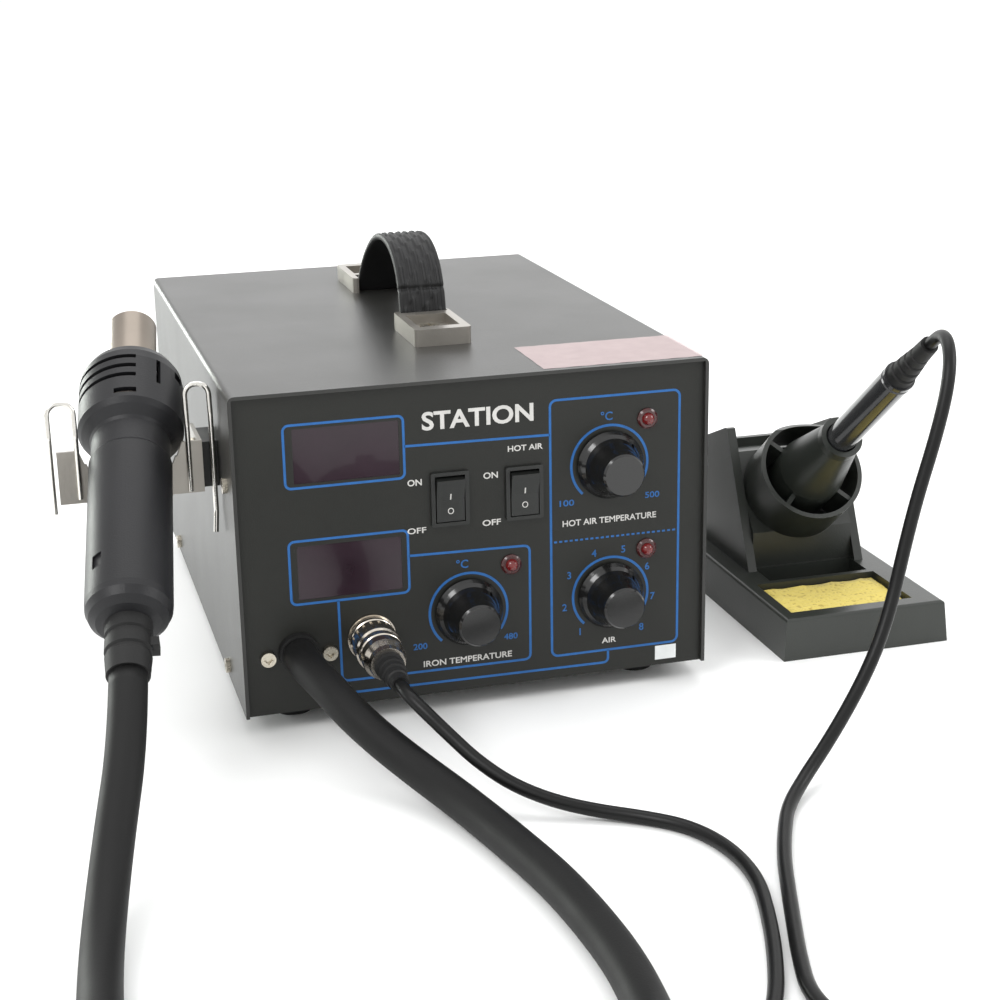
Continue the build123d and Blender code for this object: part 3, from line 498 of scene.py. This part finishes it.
def text(name, words, x, z, size, mat, width=None, y=PY, body="station", tilt=0.0, bold=0.0):
    cu = bpy.data.curves.new(name, "FONT")
    cu.body = words
    cu.size = size / 1000 * 1.38
    cu.align_x = "CENTER"
    cu.align_y = "CENTER"
    cu.extrude = 0.00003
    cu.offset = bold / 1000
    cu.resolution_u = 4
    ob = bpy.data.objects.new(name, cu)
    scene.collection.objects.link(ob)
    ob.location = S(x, y - 0.04, z)
    ob.rotation_euler = (math.radians(90 + tilt), 0, 0)
    bpy.context.view_layer.update()
    if width:
        k = width / 1000 / max(ob.dimensions.x, 1e-5)
        ob.scale = (k, 1, 1)
    dg = bpy.context.evaluated_depsgraph_get()
    me = bpy.data.meshes.new_from_object(ob.evaluated_get(dg))
    mw = ob.matrix_world.copy()
    bpy.context.view_layer.update()
    mw = ob.matrix_world.copy()
    me.transform(mw)
    me.name = name
    me.materials.clear()
    me.materials.append(mat)
    bpy.data.objects.remove(ob)
    out = bpy.data.objects.new(name, me)
    scene.collection.objects.link(out)
    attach(out, body)
    return out


for i, (x, z) in enumerate([(135.2, 18.4), (128.8, 29.4), (130.8, 42.7), (141.2, 50.8), (153.4, 51.3), (163.5, 43.0), (165.8, 30.1), (161.2, 17.4)]):
    text(f"airflow_number_{i + 1}", str(i + 1), x, z, 3.0, MAT["blue"], bold=0.05)
text("unit_air", "°C", 146.4, 106.4, 3.4, MAT["blue"], bold=0.05)
text("unit_iron", "°C", 87.2, 52.4, 3.4, MAT["blue"], bold=0.05)
text("dial_low_air", "100", 129.6, 72.8, 2.5, MAT["blue"], 6.0, bold=0.05)
text("dial_high_air", "500", 165.4, 72.8, 2.5, MAT["blue"], 6.0, bold=0.05)
text("dial_low_iron", "200", 69.6, 20.4, 2.5, MAT["blue"], 5.6, bold=0.05)
text("dial_high_iron", "480", 106.4, 20.2, 2.5, MAT["blue"], 5.6, bold=0.05)
text("mark_on_left", "ON", 69.4, 87.2, 2.5, MAT["white"], 5.6, bold=0.06)
text("mark_off_left", "OFF", 69.6, 68.0, 2.3, MAT["white"], 7.4, bold=0.05)
text("mark_on_right", "ON", 99.4, 87.2, 2.5, MAT["white"], 5.8, bold=0.06)
text("mark_off_right", "OFF", 99.4, 68.2, 2.4, MAT["white"], 7.4, bold=0.06)
text("mark_air_switch", "HOT AIR", 113.2, 97.0, 2.3, MAT["white"], 14.0, bold=0.05)
text("mark_air_box", "HOT AIR TEMPERATURE", 147.6, 64.4, 2.5, MAT["white"], 39.0, bold=0.06)
text("mark_airflow", "AIR", 147.4, 13.4, 2.3, MAT["white"], 6.0, bold=0.05)
text("mark_iron_box", "IRON TEMPERATURE", 88.6, 12.8, 2.5, MAT["white"], 36.0, bold=0.06)
text("mark_station", "STATION", 95.0, 110.6, 7.0, MAT["white"], 44.0, bold=0.25)
ribbon("corner_sticker", [(167.2, 5.3), (176.2, 5.3)], 6.0, MAT["sticker"])


def on_rocker(side, x, z):
    """Where a mark lies on the rocker's face, in Y, and how far its face leans."""
    me = NODE["switch_rocker_" + side].data
    tree = BVHTree.FromPolygons([v.co for v in me.vertices], [p.vertices for p in me.polygons])
    hit, normal, _, _ = tree.ray_cast(S(x, -40, z), Vector((0, 1, 0)))
    return hit.y * 1000 + ORG.y, math.degrees(math.atan2(-normal.y, normal.z)) - 90


for side, x, z in (("left", 82.9, 79.8), ("right", 112.6, 79.3)):
    for mark, words, dz, wide in (("off", "O", -4.8, 2.4), ("on", "I", 1.0, 0.5)):
        y_on, lean = on_rocker(side, x, z + dz)
        text(f"rocker_{mark}_mark_{side}", words, x, z + dz, 2.6, MAT["white"], wide, y=y_on, body="switch_" + side, tilt=lean)

# strip of pale film on the lid
verts, faces = [], []
nx, ny = 24, 8
for j in range(ny + 1):
    for i in range(nx + 1):
        x = 121.5 + (187.3 - 121.5) * i / nx
        y = 3.0 + 40.0 * j / ny
        verts.append(S(x, y, 127.08 + 0.05 * math.sin(i * 1.7 + j * 2.3)))
for j in range(ny):
    for i in range(nx):
        a = j * (nx + 1) + i
        faces.append((a, a + 1, a + nx + 2, a + nx + 1))
add_mesh("film_on_lid", verts, faces, MAT["film"], "station")

# ------------------------------------------------------------------ ribbed carrying strap
ARCH = [(96.0, 127.0), (96.8, 135.0), (99.4, 144.0), (105.0, 152.0), (115.0, 157.6), (127.0, 159.0), (140.0, 157.6),
        (153.0, 152.6), (166.0, 144.6), (176.0, 135.6), (182.6, 127.0)]
line = nurbs_points("strap", [(97.0, y, z) for y, z in ARCH], 24)
NR, HALF = 73, 9.9
verts, faces = [], []
nl = len(line)
total = length(line)
run = 0.0
for i, p in enumerate(line):
    t = (line[min(i + 1, nl - 1)] - line[max(i - 1, 0)]).normalized()
    out = Vector((0, -t.z, t.y))
    if i:
        run += (p - line[i - 1]).length
    groove = sum(math.exp(-((run - g * total) / 0.0008) ** 2) for g in (0.135, 0.865))
    for k in range(NR):
        x = -HALF + 2 * HALF * k / (NR - 1)
        lane = (x + HALF - 1.3) / (2 * HALF - 2.6) * 9
        h = 2.95
        if 0 <= lane <= 9:
            # lengthwise ribs, broken and staggered from lane to lane
            gate = 0.5 + 0.5 * math.tanh(4.0 * math.sin(run / 0.0165 * 2 * math.pi + int(lane) * 2.4))
            h += 0.95 * abs(math.sin(math.pi * lane)) * (0.25 + 0.75 * gate) - 0.5
        else:
            h += 0.15
        h -= 0.9 * groove + 0.9 * max(0.0, 1 - (HALF - abs(x)) / 0.8) ** 2
        verts.append(p + Vector((x / 1000, 0, 0)) + out * (h / 1000))
    for k in range(19):
        x = HALF - 2 * HALF * k / 18
        verts.append(p + Vector((x / 1000, 0, 0)) + out * ((0.15 + 0.5 * max(0.0, 1 - (HALF - abs(x)) / 0.9)) / 1000))
nc = NR + 19
for i in range(nl - 1):
    for k in range(nc):
        a, b2 = i * nc + k, i * nc + (k + 1) % nc
        faces.append((a, b2, b2 + nc, a + nc))
faces.append(tuple(range(nc)))
faces.append(tuple((nl - 1) * nc + k for k in range(nc)))
strap = add_mesh("ribbed_strap", verts, faces, MAT["strap"], "station")
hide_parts("handle_strap")

# ------------------------------------------------------------------ sponge
bm = bmesh.new()
lo, hi = S(234.2, 15.8, -3.7), S(288.8, 50.2, 7.9)
bmesh.ops.create_cube(bm, size=1.0)
for v in bm.verts:
    v.co = Vector([lo[i] + (hi[i] - lo[i]) * (v.co[i] + 0.5) for i in range(3)])
bmesh.ops.bevel(bm, geom=bm.edges[:], offset=0.0014, segments=3, affect="EDGES", profile=0.6)
bmesh.ops.subdivide_edges(bm, edges=bm.edges[:], cuts=10, use_grid_fill=True)
for v in bm.verts:
    j = 0.00022 * (math.sin(v.co.x * 900 + v.co.y * 700) + math.sin(v.co.y * 1300 - v.co.x * 400) + random.uniform(-0.9, 0.9))
    if v.co.z > hi.z - 0.0012:
        v.co.z += j - 0.0004
me = bpy.data.meshes.new("wiping_sponge")
bm.to_mesh(me)
bm.free()
sponge = bpy.data.objects.new("wiping_sponge", me)
scene.collection.objects.link(sponge)
me.materials.append(MAT["sponge"])
me.polygons.foreach_set("use_smooth", [True] * len(me.polygons))
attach(sponge, "sponge_pad")
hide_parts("sponge")

# ------------------------------------------------------------------ floor and light
bpy.ops.mesh.primitive_plane_add(size=80, location=(0, 0, 0))
floor = bpy.context.object
floor.name = "studio_floor"
fm, nt, b = new_mat("studio_floor_white")
b.inputs["Base Color"].default_value = (0.94, 0.945, 0.94, 1)
b.inputs["Roughness"].default_value = 0.9
floor.data.materials.append(fm)

world = bpy.data.worlds.new("studio")
scene.world = world
world.use_nodes = True
nt = world.node_tree
bg = nt.nodes["Background"]
tc = nt.nodes.new("ShaderNodeTexCoord")
sx = nt.nodes.new("ShaderNodeSeparateXYZ")
nt.links.new(tc.outputs["Generated"], sx.inputs["Vector"])
rp = nt.nodes.new("ShaderNodeValToRGB")
rp.color_ramp.elements[0].position = 0.0
rp.color_ramp.elements[0].color = (0.97, 0.975, 0.965, 1)
rp.color_ramp.elements[1].position = 0.85
rp.color_ramp.elements[1].color = (1.0, 1.0, 1.0, 1)
nt.links.new(sx.outputs["Z"], rp.inputs["Fac"])
nt.links.new(rp.outputs["Color"], bg.inputs["Color"])
bg.inputs["Strength"].default_value = 1.12


def area(name, loc, target, size, power, color=(1, 1, 1)):
    li = bpy.data.lights.new(name, "AREA")
    li.shape = "RECTANGLE"
    li.size, li.size_y = size
    li.energy = power
    li.color = color
    ob = bpy.data.objects.new(name, li)
    scene.collection.objects.link(ob)
    ob.location = loc
    ob.rotation_euler = (Vector(target) - Vector(loc)).to_track_quat("-Z", "Y").to_euler()
    return ob


area("key_left", (-1.2, -0.9, 1.5), (0, 0, 0.05), (0.9, 0.7), 16)
area("top_soft", (0.1, 0.7, 1.9), (0, 0.05, 0.05), (1.6, 1.2), 10)
area("fill_right", (1.5, -0.6, 1.0), (0.05, 0, 0.05), (0.7, 0.7), 8)
back = area("back_left_soft", (-1.25, 1.8, 0.24), (-0.15, 0, 0.04), (1.5, 0.4), 24, (0.95, 1.0, 0.94))
back.visible_camera = False
rear = area("back_soft", (0.75, 2.3, 0.95), (0.05, 0, 0.12), (2.4, 1.2), 6)
rear.visible_camera = False
